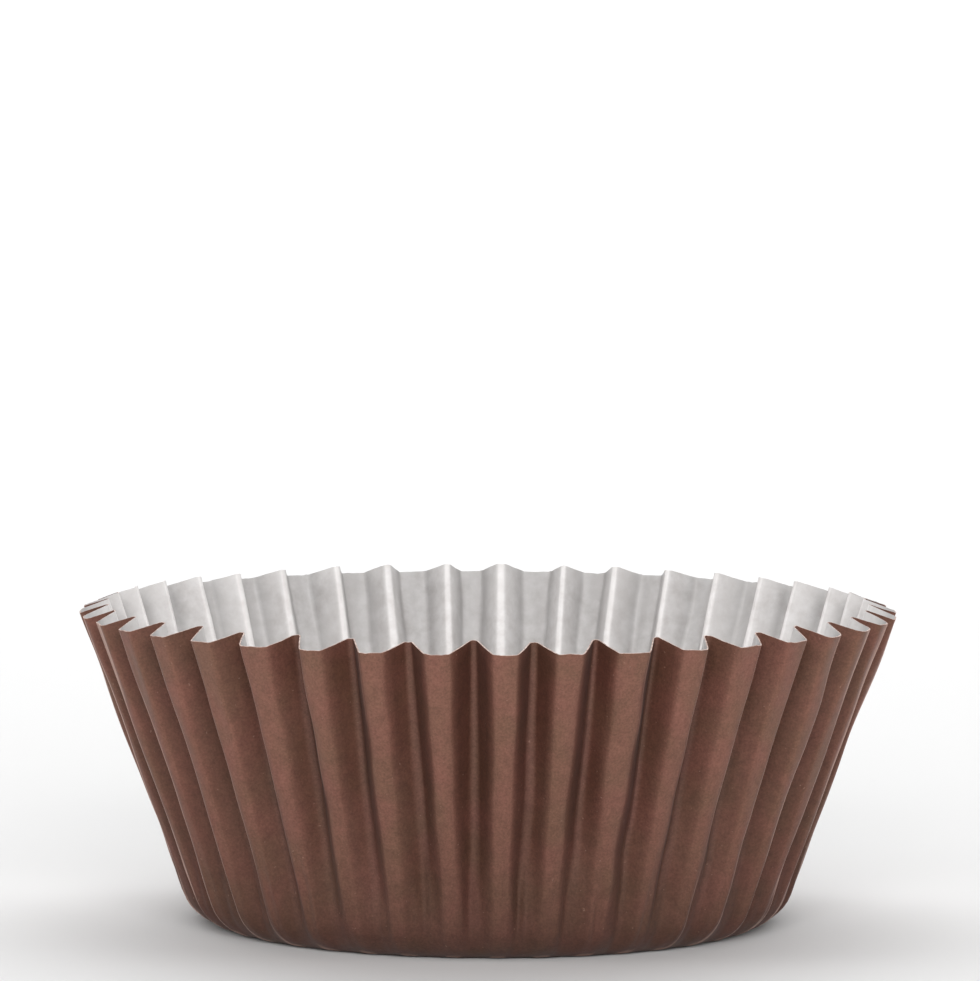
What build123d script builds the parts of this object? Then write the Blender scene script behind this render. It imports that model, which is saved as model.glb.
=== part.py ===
from build123d import *
from math import asin, atan2, cos, pi, radians, sin, sqrt, tan
import os

# A pleated paper baking cup: one coated sheet, pressed into a flat round base with a flared, fluted wall.
# Millimetres. The origin is the centre of the base's underside, and +Z is the cup's axis.

# Driving dimensions
RIM_DIAMETER = 70.0  # across the outer folds at the rim
BASE_DIAMETER = 50.4  # where the wall's slope, carried down past the bend, meets the table
HEIGHT = 26.7  # from the table to the rim's outer folds
PAPER = 0.10  # thickness of the coated sheet
BEND_RADIUS = 4.4  # between base and wall, outside
PLEATS = 40
DEPTHS = (0.75, 1.70, 2.10, 2.50)  # outer fold to inner fold: just above the bend, two handles, at the rim
OUTER_FOLD = (0.45, 0.53)  # handles of the outer fold, wide and flat-topped, as shares of half a pleat
INNER_FOLD = (0.25, 0.07)  # handles of the inner fold, narrow and crisp

# Worked out from them
half_pleat = 180 / PLEATS  # degrees
rim_radius = RIM_DIAMETER / 2
base_radius = BASE_DIAMETER / 2
lean = asin((rim_radius - base_radius) / sqrt((rim_radius - base_radius) ** 2 + HEIGHT**2))
full_turn = pi / 2 - lean  # of the bend, from the flat base up to the wall
flat_radius = base_radius - BEND_RADIUS * tan(full_turn / 2)
up_wall = Vector(cos(full_turn), 0, sin(full_turn))
across_wall = Vector(-sin(full_turn), 0, cos(full_turn))


def pleat_row(place, turn, depth, inset):
    """Control points from the outer fold at place to the next inner fold, across a sheet turned up by turn."""
    inwards = Vector(-sin(turn), 0, cos(turn))
    half_width = place.X * radians(half_pleat)
    outer = place
    inner = (place + inwards * depth).rotate(Axis.Z, half_pleat)
    along_outer = Vector(0, 1, 0)
    along_inner = along_outer.rotate(Axis.Z, half_pleat)
    # Steepest slope of the flank between the folds. Its inside face lies nearer the outer fold by this shift
    near, far = OUTER_FOLD
    back, close = INNER_FOLD
    run = (near + 4 * (far - near) + 6 * (1 - back - far) + 4 * (back - close) + close) * half_width
    shift = inset * tan(atan2(6 * depth, run) / 2)
    outer_reach = far * half_width - shift
    inner_reach = back * half_width + shift
    return [
        outer,
        outer + along_outer * outer_reach * (near / far),
        outer + along_outer * outer_reach,
        inner - along_inner * inner_reach,
        inner - along_inner * inner_reach * (close / back),
        inner,
    ]


def half_pleat_rows(inset):
    """Rows of control points for the face lying inset inside the sheet's outside: its bend and its wall."""
    radius = BEND_RADIUS - inset
    handle = 4 / 3 * tan(full_turn / 4) * radius
    bend_start = Vector(flat_radius, 0, inset)
    bend_end = Vector(flat_radius + radius * sin(full_turn), 0, BEND_RADIUS - radius * cos(full_turn))
    rim = Vector(rim_radius, 0, HEIGHT) + across_wall * inset
    rise = (rim - bend_end) / 3
    # The pleats start level with the flat base and leave the bend at the rate they keep up the wall
    onset = DEPTHS[0] - (DEPTHS[1] - DEPTHS[0]) * handle / rise.length
    bend = [
        pleat_row(bend_start, 0, 0, inset),
        pleat_row(bend_start + Vector(handle, 0, 0), 0, 0, inset),
        pleat_row(bend_end - up_wall * handle, full_turn, onset, inset),
        pleat_row(bend_end, full_turn, DEPTHS[0], inset),
    ]
    wall = [pleat_row(bend_end + rise * step, full_turn, DEPTHS[step], inset) for step in range(4)]
    return bend, wall


def all_round(rows):
    """The same half pleat and its mirror image, at every pleat; an inner fold faces each way along Y."""
    mirrored = [[Vector(point.X, -point.Y, point.Z) for point in row] for row in rows]
    faces = []
    for pleat in range(PLEATS):
        angle = (2 * pleat + 1) * half_pleat
        for half in (rows, mirrored):
            turned = [[point.rotate(Axis.Z, angle) for point in row] for row in half]
            faces.append(Face.make_bezier_surface(turned))
    return faces


def disc(row):
    """The flat base, out to where the bend starts."""
    mirrored = [Vector(point.X, -point.Y, point.Z) for point in row]
    edges = []
    for pleat in range(PLEATS):
        angle = (2 * pleat + 1) * half_pleat
        for half in (row, mirrored):
            edges.append(Bezier(*[point.rotate(Axis.Z, angle) for point in half], mode=Mode.PRIVATE))
    return Face(Wire(edges))


outer_bend, outer_wall = half_pleat_rows(0)
inner_bend, inner_wall = half_pleat_rows(PAPER)

with BuildPart() as liner:
    skin = [disc(outer_bend[0]), disc(inner_bend[0])]
    skin += all_round(outer_bend)
    skin += all_round(outer_wall)
    skin += all_round(inner_wall)
    skin += all_round(inner_bend)
    skin += all_round([outer_wall[-1], inner_wall[-1]])  # the cut edge, square to the wall's slope
    add(Solid(Shell(skin)))

os.makedirs("parts", exist_ok=True)
liner.part.label = "liner"
export_step(liner.part, "parts/liner.step")
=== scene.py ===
import math

import bpy
import numpy as np
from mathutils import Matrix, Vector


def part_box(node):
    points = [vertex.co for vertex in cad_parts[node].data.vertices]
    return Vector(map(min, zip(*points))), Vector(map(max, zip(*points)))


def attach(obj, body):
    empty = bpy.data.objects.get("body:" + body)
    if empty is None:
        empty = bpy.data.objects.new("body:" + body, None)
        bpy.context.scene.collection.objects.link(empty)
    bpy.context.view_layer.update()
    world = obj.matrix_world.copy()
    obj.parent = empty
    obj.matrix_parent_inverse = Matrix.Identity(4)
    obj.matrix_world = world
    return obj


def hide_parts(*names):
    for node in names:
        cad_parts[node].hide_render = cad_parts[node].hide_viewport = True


# A pleated paper baking cup: one thin sheet, brown outside and white inside, on a pale studio floor.
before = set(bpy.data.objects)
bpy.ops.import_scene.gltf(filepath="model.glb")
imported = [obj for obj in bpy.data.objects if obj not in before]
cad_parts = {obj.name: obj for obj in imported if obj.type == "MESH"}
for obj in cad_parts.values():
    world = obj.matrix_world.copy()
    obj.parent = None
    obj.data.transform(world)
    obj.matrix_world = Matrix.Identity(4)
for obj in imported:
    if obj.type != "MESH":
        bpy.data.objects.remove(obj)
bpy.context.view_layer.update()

# --- The sheet's form, in millimetres: the CAD part's driving dimensions ---
PLEATS = 40
RIM_RADIUS = 35.0  # to the outer folds
BASE_RADIUS = 25.2  # where the wall's slope, carried down past the bend, meets the table
HEIGHT = 26.7  # from the table to the rim's outer folds
PAPER = 0.10
BEND_RADIUS = 4.4
DEPTHS = (0.75, 1.70, 2.10, 2.50)  # of the pleats: just above the bend, two handles, at the rim

# --- The folds' section, in half pleats, at the base and at the rim ---
CREST = (0.27, 0.41)  # half the width of an outer fold's flat
CREST_ROUND = (0.12, 0.040)  # how round its corner is
VALLEY = (0.17, 0.085)  # half the width of an inner fold's flat
VALLEY_ROUND = (0.09, 0.022)
RIM_BIAS = 1.6  # power that gathers the change of section near the rim
LEAST_FLAT = (0.02, 0.04)  # of an outer fold's flat: for its middle column, and for its end column

# --- How far the sheet strays from that form, in millimetres unless a share ---
CREST_WOBBLE = 0.045  # share of an outer fold's width
WOBBLE_GROWS = 6  # length along the sheet over which it grows, from the flat base
DENTS = 0.040
DENTS_START = 1  # along the sheet, from the flat base
DENTS_GROW = 4
CRIMPS = 0.070
CRIMPS_PLACE = 6.5  # middle of the crimped band, along the sheet from the flat base
CRIMPS_SIZE = 4.2
CUT_UNEVENNESS = 0.018  # of the rim, as a share of the step below it
CUT_STEP = 1
BASE_LIFT = 0.05  # of the flat base near its edge, on average
LIFT_FADES = 3  # width of the band at the flat base's edge where the lift fades to nothing

# --- How the mesh divides the sheet ---
BASE_RINGS = (5.0, 11.0, 16.0, 19.5, 21.2)  # radii in the flat base, in millimetres
BEND_ROWS = 8
WALL_ROWS = 38
OUTSIDE, INSIDE, CUT_EDGE = range(3)  # material slots

SEED = 11

# --- Worked out from them ---
half_pleat = math.pi / PLEATS
lean = math.atan2(RIM_RADIUS - BASE_RADIUS, HEIGHT)
full_turn = math.pi / 2 - lean  # of the bend, from the flat base up to the wall
flat_radius = BASE_RADIUS - BEND_RADIUS * math.tan(full_turn / 2)
bend_length = BEND_RADIUS * full_turn
wall_length = (HEIGHT - BEND_RADIUS * (1 - math.cos(full_turn))) / math.sin(full_turn)
rim_distance = bend_length + wall_length  # along the sheet, from the flat base's edge

low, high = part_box("liner")
metres = (high[0] - low[0]) / (2 * RIM_RADIUS * math.cos(half_pleat))  # in one millimetre of the CAD
centre = ((low[0] + high[0]) / 2, (low[1] + high[1]) / 2, low[2])
rng = np.random.default_rng(SEED)


# --- The sheet ---
def bezier(controls, t):
    """A point of the Bezier curve with these control values."""
    degree = len(controls) - 1
    weights = [math.comb(degree, i) * t**i * (1 - t) ** (degree - i) for i in range(degree + 1)]
    return sum(weight * value for weight, value in zip(weights, controls))


def pleat_depth(distance):
    """Outer fold to inner fold, at a distance along the sheet from the flat base."""
    handle = 4 / 3 * math.tan(full_turn / 4) * BEND_RADIUS
    onset = DEPTHS[0] - (DEPTHS[1] - DEPTHS[0]) * handle / (wall_length / 3)
    if distance <= 0:
        return 0.0
    if distance < bend_length:
        return bezier((0, 0, onset, DEPTHS[0]), distance / bend_length)
    return bezier(DEPTHS, (distance - bend_length) / wall_length)


def rise_at(distance):
    """0 over the flat base, to 1 at the rim."""
    return min(max(distance / rim_distance, 0), 1)


def turn_at(distance):
    """How far the sheet is turned up from the flat."""
    return min(max(distance / BEND_RADIUS, 0), full_turn)


def eased(distance, length):
    """0 over the flat base, to 1 from a length beyond its edge."""
    return min(1, max(distance, 0) / length)


def hump(distance, place, size):
    """A smooth hump, 1 high at its place."""
    return np.exp(-(((distance - place) / size) ** 2))


def between(pair, rise):
    """A value that goes from its base figure to its rim figure, faster near the rim."""
    return pair[0] + (pair[1] - pair[0]) * rise**RIM_BIAS


def softly(value, width):
    """The positive part of a value, rounded off over a width."""
    return width * np.logaddexp(0, value / width)


def waves(count, around, along, generator):
    """A smooth random field over angle and distance, about 1 deep, that closes on itself round the cup.

    The waves' numbers round the cup lie in around, and their radians for each millimetre along the sheet
    lie in along, either way.
    """
    turns = generator.integers(around[0], around[1], count)
    rates = generator.uniform(along[0], along[1], count) * generator.choice([-1, 1], count)
    phases = generator.uniform(0, 2 * math.pi, count)

    def field(angle, distance):
        angle = np.asarray(angle)
        total = np.zeros_like(angle, dtype=float)
        for turn, rate, phase in zip(turns, rates, phases):
            total = total + np.cos(turn * angle + rate * distance + phase)
        return total / math.sqrt(count / 2)

    return field


class Folds:
    """How one family of folds strays from its regular place, each fold in its own way, in millimetres."""

    KINKS_FROM, KINKS_TO = (4, 10), (11, 20)  # two in each fold: the stretch of the sheet where each may be
    KINK_SIZES = (1.3, 3.2)
    PUSHES_FROM, PUSHES_TO = (5, 12, 22), (11, 21, 30)  # three in each fold
    PUSH_SIZES = (2.0, 5.0)
    PLACE_GROWS, KINK_GROWS, PUSH_GROWS = 4, 3, 5  # lengths over which they grow, from the flat base
    RIM_MARGIN = 6  # where pushes fade towards the rim
    RIM_PUSH = 0.25  # share of them that is left there

    def __init__(self, generator, place, lean_out, kink, push):
        self.place = generator.normal(0, place, PLEATS)  # sideways, for the whole fold
        self.lean = generator.normal(0, lean_out, PLEATS)  # sideways, from the base to the rim
        self.kink = generator.normal(0, kink, (2, PLEATS))  # sideways
        self.kink_at = generator.uniform(self.KINKS_FROM, self.KINKS_TO, (PLEATS, 2)).T
        self.kink_size = generator.uniform(*self.KINK_SIZES, (2, PLEATS))
        self.push = generator.normal(0, push, (3, PLEATS))  # inwards or outwards
        self.push_at = generator.uniform(self.PUSHES_FROM, self.PUSHES_TO, (PLEATS, 3)).T
        self.push_size = generator.uniform(*self.PUSH_SIZES, (3, PLEATS))

    def sideways(self, distance):
        shift = (self.place + self.lean * (rise_at(distance) - 0.5)) * eased(distance, self.PLACE_GROWS)
        for size, at, kink in zip(self.kink_size, self.kink_at, self.kink):
            shift = shift + kink * hump(distance, at, size)
        return shift * eased(distance, self.KINK_GROWS)

    def inwards(self, distance):
        shift = np.zeros(PLEATS)
        for size, at, push in zip(self.push_size, self.push_at, self.push):
            shift = shift + push * hump(distance, at, size)
        near_rim = min(1, max(self.RIM_PUSH, (rim_distance - distance) / self.RIM_MARGIN))
        return shift * eased(distance, self.PUSH_GROWS) * near_rim


outer_folds = Folds(rng, place=0.14, lean_out=0.20, kink=0.07, push=0.09)
inner_folds = Folds(rng, place=0.16, lean_out=0.24, kink=0.10, push=0.12)
depth_share = rng.normal(1.0, 0.05, PLEATS)
crest_share = rng.uniform(0.90, 1.10, PLEATS)
valley_share = rng.uniform(0.75, 1.30, PLEATS)
soft_dents = waves(26, (14, 90), (0.05, 0.55), rng)
crimps = waves(30, (60, 190), (0.0, 0.25), rng)
ragged = waves(40, (40, 420), (0.0, 0.01), rng)
crest_wobble = waves(14, (1, 40), (0.15, 1.1), rng)
base_sag = waves(10, (1, 6), (0.0, 0.01), rng)


def half_pleat_section(flat, foot, soft_crest, soft_valley):
    """Columns across half a pleat, as shares of its width, and how far into the fold the sheet is at each.

    The flat of the outer fold ends at flat, and the flat of the inner fold starts at foot. The columns
    stand closest round those two corners, at steps of so many rounding widths from them.
    """
    flat_end = flat - 1.8 * soft_crest
    mid_flat = 0.5 * max(flat_end, LEAST_FLAT[0])
    crest_corner = [flat + step * soft_crest for step in (-0.7, 0.3, 1.6)]
    valley_corner = [foot + step * soft_valley for step in (-1.8, -0.6, 0.5)]
    mid_flank = (crest_corner[-1] + valley_corner[0]) / 2
    mid_foot = 0.5 * (1 + valley_corner[-1])
    flat_end = max(flat_end, LEAST_FLAT[1])
    shares = np.array([0, mid_flat, flat_end, *crest_corner, mid_flank, *valley_corner, mid_foot, 1])
    into = softly(shares - flat, soft_crest) - softly(shares - foot, soft_valley)
    return shares, (into - into[0]) / (into[-1] - into[0])


def into_mark(shares, flat, foot):
    """0 to 0.4 across an outer fold's flat, to 0.8 down the flank, and to 1 across an inner fold's flat."""
    return np.interp(shares, (0, flat, foot, 1), (0, 0.4, 0.8, 1))


def sheet_row(distance):
    """One row of the sheet's outside, at a distance from the flat base: its points and their fold marks."""
    turn = turn_at(distance)
    past_bend = max(distance - bend_length, 0)
    radius = flat_radius + BEND_RADIUS * math.sin(turn) + past_bend * math.cos(full_turn) + min(distance, 0)
    height = BEND_RADIUS * (1 - math.cos(turn)) + past_bend * math.sin(full_turn)
    depth = pleat_depth(min(distance, rim_distance))
    outer_angle = (2 * np.arange(PLEATS) + 1) * half_pleat + outer_folds.sideways(distance) / radius
    inner_angle = 2 * np.arange(PLEATS) * half_pleat + inner_folds.sideways(distance) / radius
    outer_in = outer_folds.inwards(distance)
    inner_in = depth * depth_share + inner_folds.inwards(distance)
    rise = rise_at(distance)
    soft_crest, soft_valley = between(CREST_ROUND, rise), between(VALLEY_ROUND, rise)
    points, fold = [], []
    for pleat in range(PLEATS):
        after = (pleat + 1) % PLEATS
        for inner, side in ((pleat, -1), (after, 1)):
            wrap = 2 * math.pi if side > 0 and after == 0 else 0.0
            wobble = crest_wobble(2 * pleat + (side > 0), distance) * min(1, distance / WOBBLE_GROWS)
            flat = between(CREST, rise) * crest_share[pleat] * (1 + CREST_WOBBLE * float(wobble))
            foot = 1 - between(VALLEY, rise) * valley_share[inner]
            shares, into = half_pleat_section(flat, foot, soft_crest, soft_valley)
            angle = outer_angle[pleat] + (inner_angle[inner] + wrap - outer_angle[pleat]) * shares
            inset = outer_in[pleat] + (inner_in[inner] - outer_in[pleat]) * into
            # Columns run one way round, and each fold's middle is the first column of one half only
            order = slice(None, 0, -1) if side < 0 else slice(None, -1)
            angle, inset = angle[order], inset[order]
            ring = radius - inset * math.sin(turn)
            level = height + inset * math.cos(turn)
            points.append(np.stack([ring * np.cos(angle), ring * np.sin(angle), level], axis=1))
            fold.append(into_mark(shares, flat, foot)[order])
    return np.concatenate(points), np.concatenate(fold)


def roughened(points, distance):
    """A row with soft dents, and crimps low on the wall. The flat base lifts a little instead."""
    angle = np.arctan2(points[:, 1], points[:, 0])
    ring = np.hypot(points[:, 0], points[:, 1])
    outward = np.stack([points[:, 0] / ring, points[:, 1] / ring, np.zeros(len(ring))], axis=1)
    turn = turn_at(distance)
    normal = outward * math.sin(turn) - np.array([0, 0, math.cos(turn)])
    grown = eased(distance - DENTS_START, DENTS_GROW)
    low_wall = hump(distance, CRIMPS_PLACE, CRIMPS_SIZE) * grown
    push = DENTS * grown * soft_dents(angle, distance) + CRIMPS * low_wall * crimps(angle, distance)
    points = points + normal * push[:, None]
    if distance <= 0:
        lift = BASE_LIFT * (1 + np.clip(base_sag(angle, 0.0), -1, 1)) * (ring / flat_radius) ** 2
        points[:, 2] += lift * min(1, -distance / LIFT_FADES)
    return points


def unevenly_cut(points, distance):
    """The rim's row, moved along the wall here and there."""
    angle = np.arctan2(points[:, 1], points[:, 0])
    below, _ = sheet_row(distance - CUT_STEP)
    return points + (points - below) * CUT_UNEVENNESS * ragged(angle, 0.0)[:, None]


def build_outside():
    """Rows of the sheet's outside, from the base to the rim, with the two marks that the materials read."""
    distances = [ring - flat_radius for ring in BASE_RINGS]
    distances += [bend_length * row / BEND_ROWS for row in range(BEND_ROWS)]
    distances += [bend_length + wall_length * row / WALL_ROWS for row in range(WALL_ROWS + 1)]
    rows, folds, rises = [], [], []
    for distance in distances:
        points, fold = sheet_row(distance)
        if distance == distances[-1]:
            points = unevenly_cut(points, distance)
        rows.append(roughened(points, distance))
        folds.append(fold)
        rises.append(np.full(len(fold), rise_at(distance)))
    return np.array(rows), np.array(folds), np.array(rises)


def row_normals(rows):
    """Unit normals of the grid, out of the cup."""
    around = np.roll(rows, -1, axis=1) - np.roll(rows, 1, axis=1)
    up = np.gradient(rows, axis=0)
    normal = np.cross(around, up)
    return normal / np.linalg.norm(normal, axis=2, keepdims=True)


def sheet_faces(count_rows, columns):
    """The sheet's faces and their material slots.

    The corners run round each row, row by row, over the outside and then over the inside. The last two
    corners are the middles of the base, outside and inside.
    """
    here = np.arange(columns)
    there = (here + 1) % columns
    first_in = count_rows * columns
    rim = first_in - columns
    rim_in = rim + first_in
    middle_out = 2 * first_in
    middle_in = middle_out + 1
    faces, slots = [], []

    def add(slot, *corners):
        faces.extend(np.stack(corners, axis=1).tolist())
        slots.extend([slot] * columns)

    for row in range(count_rows - 1):
        a, b = row * columns, (row + 1) * columns
        add(OUTSIDE, a + here, a + there, b + there, b + here)
        a, b = a + first_in, b + first_in
        add(INSIDE, a + here, b + here, b + there, a + there)
    add(CUT_EDGE, rim + here, rim + there, rim_in + there, rim_in + here)
    add(OUTSIDE, np.full(columns, middle_out), there, here)
    add(INSIDE, np.full(columns, middle_in), first_in + here, first_in + there)
    return faces, slots


def sharpen_rim(mesh, count_rows, columns):
    """Keeps the cut edge crisp where it meets the two faces of the sheet."""
    ends = np.empty(len(mesh.edges) * 2, int)
    mesh.edges.foreach_get("vertices", ends)
    ends = ends.reshape(-1, 2)
    rim = (count_rows - 1) * columns
    rim_in = rim + count_rows * columns
    on_out = (ends >= rim) & (ends < rim + columns)
    on_in = (ends >= rim_in) & (ends < rim_in + columns)
    sharp = mesh.attributes.new("sharp_edge", "BOOLEAN", "EDGE")
    sharp.data.foreach_set("value", on_out.all(axis=1) | on_in.all(axis=1))


def build_liner():
    """The whole sheet as one mesh: its outside, its inside one paper's thickness away, and its cut edge."""
    outside, folds, rises = build_outside()
    inside = outside - row_normals(outside) * PAPER
    middles = [(0, 0, 0), (0, 0, PAPER)]
    corners = np.concatenate([outside.reshape(-1, 3), inside.reshape(-1, 3), middles])
    corners[:, 2] = np.maximum(corners[:, 2], 0)
    corners = corners * metres + np.array(centre)
    count_rows, columns = outside.shape[:2]
    faces, slots = sheet_faces(count_rows, columns)
    mesh = bpy.data.meshes.new("liner_paper")
    mesh.from_pydata(corners.tolist(), [], faces)
    mesh.polygons.foreach_set("material_index", slots)
    mesh.polygons.foreach_set("use_smooth", [True] * len(faces))
    for name, values in (("fold", folds), ("rise", rises)):
        marks = np.concatenate([values.ravel(), values.ravel(), [0.0, 0.0]]).astype(np.float32)
        mesh.attributes.new(name, "FLOAT", "POINT").data.foreach_set("value", marks)
    sharpen_rim(mesh, count_rows, columns)
    mesh.update()
    piece = bpy.data.objects.new("liner_paper", mesh)
    bpy.context.scene.collection.objects.link(piece)
    return piece


# --- Materials: colours are linear, and noise scales are in features per metre ---
BROWN_DEEP = (0.144, 0.071, 0.047, 1)
BROWN_RED = (0.171, 0.074, 0.054, 1)
PALE_SPECK = (0.40, 0.25, 0.19, 1)
# Colour of the painted highlight where an outer fold's edge turns away
PALE_GRAZING_HIGHLIGHT = (0.46, 0.27, 0.21, 1)
WHITE_DULL = (0.50, 0.475, 0.465, 1)
WHITE_BRIGHT = (0.66, 0.645, 0.64, 1)
WHITE_CLOUD = (0.62, 0.60, 0.59, 1)
CORE_DARK = (0.30, 0.20, 0.165, 1)
CORE_PALE = (0.62, 0.50, 0.45, 1)
FLOOR_GREY = (0.72, 0.72, 0.72, 1)

# Across the "fold" mark: the painted shade that the brown is multiplied by, from an outer fold to an inner
# fold, darkest down the flanks and in the grooves
FLANK_PAINTED_SHADE = (
    (0.0, (1.02, 1.02, 1.02)),
    (0.24, (1.0, 1.0, 1.0)),
    (0.38, (0.96, 0.95, 0.94)),
    (0.46, (0.62, 0.54, 0.52)),
    (0.56, (0.43, 0.35, 0.32)),
    (0.75, (0.43, 0.35, 0.32)),
    (0.84, (0.60, 0.60, 0.62)),
    (1.0, (0.62, 0.64, 0.68)),
)
# Along the "rise" mark: painted shade, the wall darker low down
LOW_WALL_PAINTED_SHADE = ((0.0, 0.52), (0.13, 0.52), (0.22, 0.69), (0.36, 0.84), (0.58, 0.94), (0.85, 1.0))
# Across the "fold" mark inside: painted shade in the troughs and on the flanks, and painted light where an
# inner fold stands out as a ridge
RIDGE_PAINTED_LIGHT_AND_SHADE = ((0.0, 0.74), (0.36, 0.78), (0.46, 0.66), (0.62, 0.86), (0.80, 0.98), (0.88, 1.22))

# The Mix node has sockets for every kind of data, and these are its sockets for colours
MIX_FACTOR, MIX_A, MIX_B = 0, 6, 7
MIX_RESULT = 2


def feed(tree, socket, value):
    """Gives a socket its value, or a link where the value is another node's output."""
    if isinstance(value, bpy.types.NodeSocket):
        tree.links.new(value, socket)
    else:
        socket.default_value = value


def node(tree, kind, inputs=None, **settings):
    """A new node, with its inputs by name and its settings."""
    made = tree.nodes.new(kind)
    for name, value in settings.items():
        setattr(made, name, value)
    for name, value in (inputs or {}).items():
        feed(tree, made.inputs[name], value)
    return made


def noise(tree, place, scale, detail, roughness):
    inputs = {"Vector": place, "Scale": scale, "Detail": detail, "Roughness": roughness}
    return node(tree, "ShaderNodeTexNoise", inputs).outputs["Fac"]


def mark(tree, name):
    """One of the mesh's own marks, fold or rise."""
    return node(tree, "ShaderNodeAttribute", attribute_name=name).outputs["Fac"]


def ramp(tree, factor, *stops):
    """A colour ramp. Each stop is a position and a grey or a colour."""
    made = node(tree, "ShaderNodeValToRGB", {"Fac": factor})
    elements = made.color_ramp.elements
    while len(elements) < len(stops):
        elements.new(0.5)
    for element, (position, tint) in zip(elements, stops):
        element.position = position
        element.color = (*tint, 1) if isinstance(tint, tuple) else (tint, tint, tint, 1)
    return made.outputs["Color"]


def math_node(tree, operation, a, b):
    made = node(tree, "ShaderNodeMath", operation=operation)
    for socket, value in zip(made.inputs, (a, b)):
        feed(tree, socket, value)
    return made.outputs["Value"]


def mix_colour(tree, factor, a, b, blend="MIX"):
    made = node(tree, "ShaderNodeMix", data_type="RGBA", blend_type=blend)
    for index, value in ((MIX_FACTOR, factor), (MIX_A, a), (MIX_B, b)):
        feed(tree, made.inputs[index], value)
    return made.outputs[MIX_RESULT]


def multiply(tree, a, b):
    return mix_colour(tree, 1.0, a, b, "MULTIPLY")


def relief(tree, shader, height, strength, distance):
    """Fine relief of the surface, with its distance in metres."""
    made = node(tree, "ShaderNodeBump", {"Height": height, "Strength": strength, "Distance": distance})
    tree.links.new(made.outputs["Normal"], shader.inputs["Normal"])


def new_material(name):
    material = bpy.data.materials.new(name)
    material.use_nodes = True
    tree = material.node_tree
    shader = next(n for n in tree.nodes if n.type == "BSDF_PRINCIPLED")
    place = node(tree, "ShaderNodeTexCoord").outputs["Object"]
    return material, tree, shader, place


def brown_paper():
    """Printed brown paper: fibrous grain, pale specks, painted shade on the flanks and low on the wall, a
    painted highlight along the outer folds' edges.
    """
    material, tree, shader, place = new_material("brown_paper")
    fold = mark(tree, "fold")
    rise = mark(tree, "rise")
    facing = node(tree, "ShaderNodeLayerWeight", {"Blend": 0.5}).outputs["Facing"]
    grain = noise(tree, place, scale=5200, detail=4, roughness=0.65)
    cloud = noise(tree, place, scale=260, detail=3, roughness=0.5)
    mottle = noise(tree, place, scale=1300, detail=3, roughness=0.6)
    base = mix_colour(tree, ramp(tree, cloud, (0.35, 0), (0.65, 1)), BROWN_DEEP, BROWN_RED)
    base = multiply(tree, base, ramp(tree, mottle, (0.3, 0.90), (0.7, 1.10)))
    base = multiply(tree, base, ramp(tree, grain, (0.25, 0.78), (0.75, 1.22)))
    # Painted shade on the flanks, stronger the more they turn away, and not low down where the folds are
    # shallow
    upper = ramp(tree, rise, (0.06, 0.0), (0.22, 0.45), (0.40, 0.80), (0.60, 1.0))
    shaded = math_node(tree, "MULTIPLY", upper, ramp(tree, facing, (0.05, 0.52), (0.36, 1.0)))
    base = mix_colour(tree, shaded, base, multiply(tree, base, ramp(tree, fold, *FLANK_PAINTED_SHADE)))
    # Painted shade: the wall darker low down
    base = multiply(tree, base, ramp(tree, rise, *LOW_WALL_PAINTED_SHADE))
    dots = noise(tree, place, scale=3600, detail=1, roughness=0.3)
    specks = ramp(tree, dots, (0.765, 0), (0.82, 1))
    base = mix_colour(tree, math_node(tree, "MULTIPLY", specks, 0.25), base, PALE_SPECK)
    # A painted highlight: a pale line where an outer fold's edge turns away, standing in for light caught
    # at a grazing angle
    on_crest = ramp(tree, fold, (0.40, 1.0), (0.52, 0.0))
    edge = math_node(tree, "MULTIPLY", ramp(tree, facing, (0.72, 0.0), (0.93, 0.85)), on_crest)
    base = mix_colour(tree, edge, base, PALE_GRAZING_HIGHLIGHT)
    tree.links.new(base, shader.inputs["Base Color"])
    tree.links.new(ramp(tree, cloud, (0.3, 0.48), (0.7, 0.60)), shader.inputs["Roughness"])
    shader.inputs["Specular IOR Level"].default_value = 0.20
    shader.inputs["Sheen Weight"].default_value = 0.03
    shader.inputs["Sheen Roughness"].default_value = 0.4
    fibres = noise(tree, place, scale=1900, detail=5, roughness=0.6)
    height = math_node(tree, "ADD", math_node(tree, "MULTIPLY", grain, 0.5), fibres)
    relief(tree, shader, height, strength=0.35, distance=0.00006)
    return material


def white_paper():
    """The greaseproof inside: cloudy white-grey paper, with painted light on the ridges and painted shade
    in the troughs.
    """
    material, tree, shader, place = new_material("white_paper")
    fold = mark(tree, "fold")
    rise = mark(tree, "rise")
    cloud = noise(tree, place, scale=850, detail=5, roughness=0.62)
    broad = noise(tree, place, scale=180, detail=2, roughness=0.5)
    base = mix_colour(tree, ramp(tree, cloud, (0.30, 0), (0.70, 1)), WHITE_DULL, WHITE_BRIGHT)
    base = mix_colour(tree, ramp(tree, broad, (0.35, 0), (0.65, 0.5)), base, WHITE_CLOUD)
    # Painted light on the inside's ridges and painted shade in its troughs, faded in above the bend
    upper = ramp(tree, rise, (0.08, 0), (0.25, 1))
    base = mix_colour(tree, upper, base, multiply(tree, base, ramp(tree, fold, *RIDGE_PAINTED_LIGHT_AND_SHADE)))
    # Painted light: the inside brighter on and near the flat base
    base = multiply(tree, base, ramp(tree, rise, (0.0, 1.16), (0.10, 1.12), (0.22, 0.98)))
    tree.links.new(base, shader.inputs["Base Color"])
    tree.links.new(ramp(tree, cloud, (0.3, 0.48), (0.7, 0.62)), shader.inputs["Roughness"])
    shader.inputs["Specular IOR Level"].default_value = 0.35
    fibres = noise(tree, place, scale=2400, detail=5, roughness=0.65)
    height = math_node(tree, "ADD", math_node(tree, "MULTIPLY", cloud, 0.6), fibres)
    relief(tree, shader, height, strength=0.3, distance=0.00006)
    return material


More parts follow.
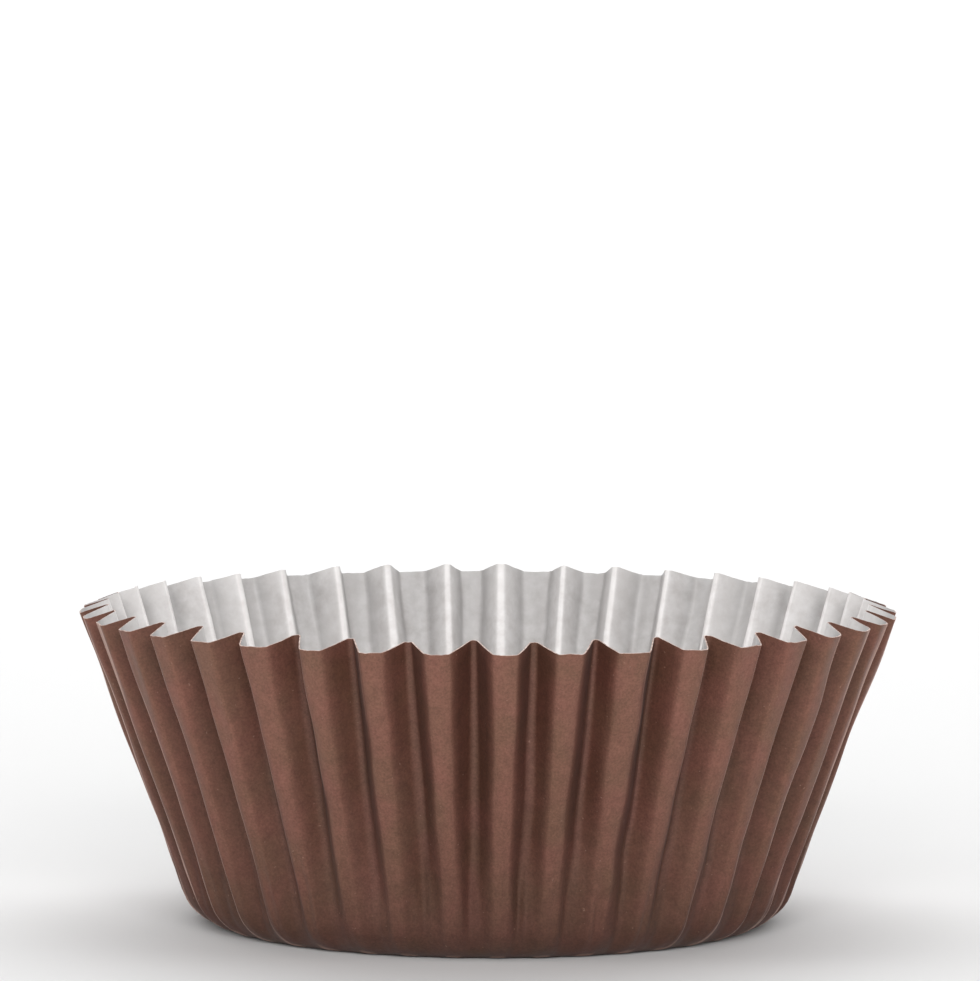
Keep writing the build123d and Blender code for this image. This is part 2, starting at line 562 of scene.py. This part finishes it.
def cut_edge():
    """The sheet's cut edge, where its pale core shows."""
    material, tree, shader, place = new_material("cut_edge")
    grain = noise(tree, place, scale=3200, detail=4, roughness=0.6)
    base = mix_colour(tree, ramp(tree, grain, (0.35, 0), (0.65, 1)), CORE_DARK, CORE_PALE)
    tree.links.new(base, shader.inputs["Base Color"])
    shader.inputs["Roughness"].default_value = 0.8
    relief(tree, shader, grain, strength=0.4, distance=0.00004)
    return material


liner = build_liner()
for material in (brown_paper(), white_paper(), cut_edge()):  # in the order of the material slots
    liner.data.materials.append(material)
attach(liner, "root")
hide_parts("liner")


# --- Studio: floor that curves up into a backdrop, soft lights, camera, all in metres ---
FLOOR_FRONT = -2.4
FLOOR_BACK = 2.4
FLOOR_HALF_WIDTH = 2.6
BACKDROP_TOP = 2.6
BACKDROP_BEND = 0.9  # radius
BACKDROP_STEPS = 12  # in the bend

# Name, place, what it points at, width and height, watts
LIGHTS = (
    ("front_light", (0.06, -1.1, 0.42), (0, 0, 0.01), (0.8, 0.4), 12.4),
    ("left_light", (-0.95, -0.25, 0.30), (0, 0, 0.01), (0.4, 0.6), 2.8),
    ("right_light", (0.95, -0.20, 0.30), (0, 0, 0.01), (0.4, 0.6), 2.0),
    ("top_light", (0.0, 0.15, 1.2), (0, 0, 0.0), (0.9, 0.9), 4.0),
    ("backdrop_light", (0.0, 1.0, 1.5), (0, 1.9, 0.1), (3.0, 0.8), 55.0),
)
SURROUND_LIGHT = 0.16

CAMERA_AWAY = 0.6936  # from the cup's axis
CAMERA_HEIGHT = 0.0983
CAMERA_ROUND = math.radians(2.3)  # past the -Y axis, towards +X
CAMERA_DOWN = math.radians(5.04)
CAMERA_ROLL = math.radians(-0.23)
LENS = 298.2  # millimetres
SENSOR_WIDTH = 36
LENS_SHIFT = -0.0015


def backdrop():
    """A plain matt sheet that lies on the floor and curves up behind the cup."""
    profile = [(FLOOR_FRONT, 0.0), (FLOOR_BACK - BACKDROP_BEND, 0.0)]
    for step in range(1, BACKDROP_STEPS + 1):
        angle = math.pi / 2 * step / BACKDROP_STEPS
        along = FLOOR_BACK - BACKDROP_BEND * (1 - math.sin(angle))
        profile.append((along, BACKDROP_BEND * (1 - math.cos(angle))))
    profile.append((FLOOR_BACK, BACKDROP_TOP))
    vertices = [(x, y, z) for y, z in profile for x in (-FLOOR_HALF_WIDTH, FLOOR_HALF_WIDTH)]
    faces = [(2 * i, 2 * i + 1, 2 * i + 3, 2 * i + 2) for i in range(len(profile) - 1)]
    mesh = bpy.data.meshes.new("studio_floor")
    mesh.from_pydata(vertices, [], faces)
    mesh.polygons.foreach_set("use_smooth", [True] * len(faces))
    floor_material, _, shader, _ = new_material("studio_floor")
    shader.inputs["Base Color"].default_value = FLOOR_GREY
    shader.inputs["Roughness"].default_value = 0.9
    shader.inputs["Specular IOR Level"].default_value = 0.1
    mesh.materials.append(floor_material)
    floor = bpy.data.objects.new("studio_floor", mesh)
    bpy.context.scene.collection.objects.link(floor)


def soft_light(name, place, target, size, watts):
    """A rectangular light at a place, turned to its target."""
    data = bpy.data.lights.new(name, "AREA")
    data.shape = "RECTANGLE"
    data.size, data.size_y = size
    data.energy = watts
    lamp = bpy.data.objects.new(name, data)
    lamp.location = place
    aim = np.array(target) - np.array(place)
    yaw = math.atan2(aim[1], aim[0]) - math.pi / 2
    pitch = math.atan2(aim[2], math.hypot(aim[0], aim[1])) + math.pi / 2
    lamp.rotation_euler = (pitch, 0, yaw)
    bpy.context.scene.collection.objects.link(lamp)


def studio_world():
    """An even white surround."""
    world = bpy.data.worlds.new("studio")
    world.use_nodes = True
    surround = world.node_tree.nodes["Background"]
    surround.inputs["Color"].default_value = (1, 1, 1, 1)
    surround.inputs["Strength"].default_value = SURROUND_LIGHT
    bpy.context.scene.world = world


def place_camera():
    """A camera a little above the rim, looking slightly down."""
    data = bpy.data.cameras.new("camera")
    data.lens = LENS
    data.sensor_width = SENSOR_WIDTH
    data.shift_x = LENS_SHIFT
    data.clip_start, data.clip_end = 0.01, 10
    camera = bpy.data.objects.new("camera", data)
    across = CAMERA_AWAY * math.sin(CAMERA_ROUND)
    back = -CAMERA_AWAY * math.cos(CAMERA_ROUND)
    camera.location = (across, back, CAMERA_HEIGHT)
    camera.rotation_euler = (math.pi / 2 - CAMERA_DOWN, CAMERA_ROLL, CAMERA_ROUND)
    bpy.context.scene.collection.objects.link(camera)
    bpy.context.scene.camera = camera


backdrop()
for light in LIGHTS:
    soft_light(*light)
studio_world()
bpy.context.scene.view_settings.view_transform = "Standard"
place_camera()
